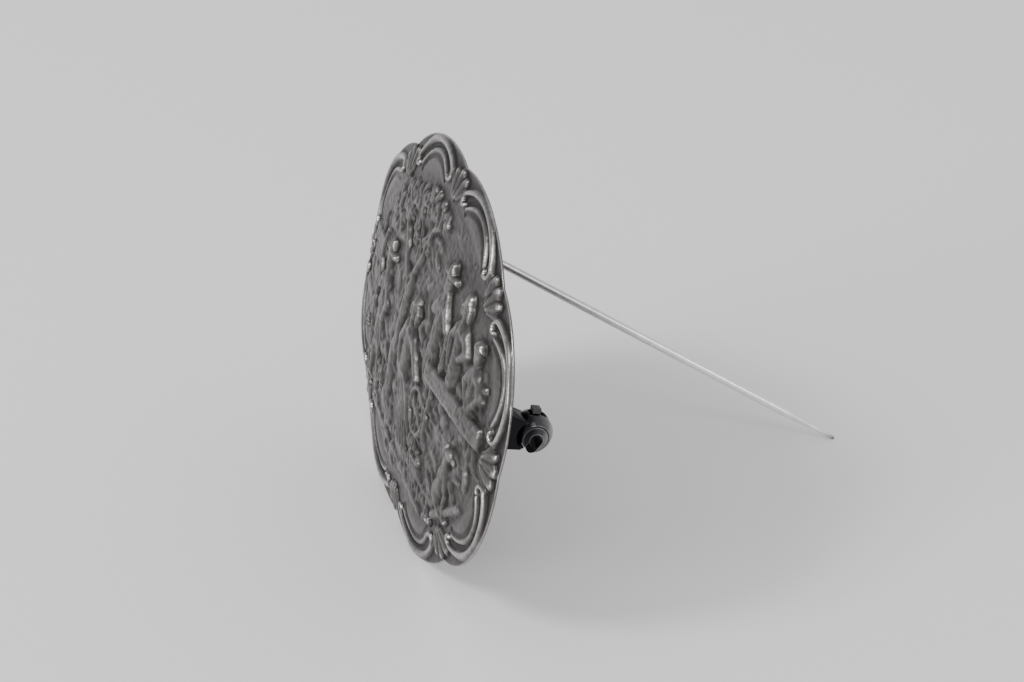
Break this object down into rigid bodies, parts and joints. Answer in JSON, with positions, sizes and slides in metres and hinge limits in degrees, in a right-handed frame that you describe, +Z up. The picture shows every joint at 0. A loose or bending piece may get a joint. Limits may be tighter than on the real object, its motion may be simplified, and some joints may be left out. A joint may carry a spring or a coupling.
{
  "type": "brooch",
  "caption": "Scalloped oval brooch of darkened silver with a scene in relief, standing on its rim with the pin swung open behind it.",
  "frame": {"origin": "centre of the whole brooch's box in plan, at the floor that it stands on", "axes": "+X to the right of the plaque seen from its front, +Y from the front to the pin behind it, +Z up; the plaque leans back by 14 degrees"},
  "size_m": [0.0538, 0.049, 0.0386],
  "materials": {
    "darkened_silver": "silver darkened in the hollows and rubbed bright on the high edges",
    "rivet_metal": "dull darkened metal",
    "pin_metal": "drawn wire, polished by use, darker at the point",
    "catch_metal": "glossy blackened metal"
  },
  "bodies": {
    "brooch": {"plaque": "darkened_silver", "hinge_rivet": "rivet_metal"},
    "pin": {"pin_stem": "pin_metal"},
    "rotor": {"catch_rotor": "catch_metal"}
  },
  "joints": [
    {"name": "pin_hinge", "type": "hinge", "parent": "brooch", "child": "pin", "pos_m": [-0.0244, -0.01573, 0.02218], "axis": [0.0553, 0.4547, 0.8889], "range_deg": [-61.1, 0]},
    {"name": "catch_turn", "type": "hinge", "parent": "brooch", "child": "rotor", "pos_m": [0.024, -0.01514, 0.02203], "axis": [-1, 0, 0], "range_deg": [0, 110]}
  ]
}
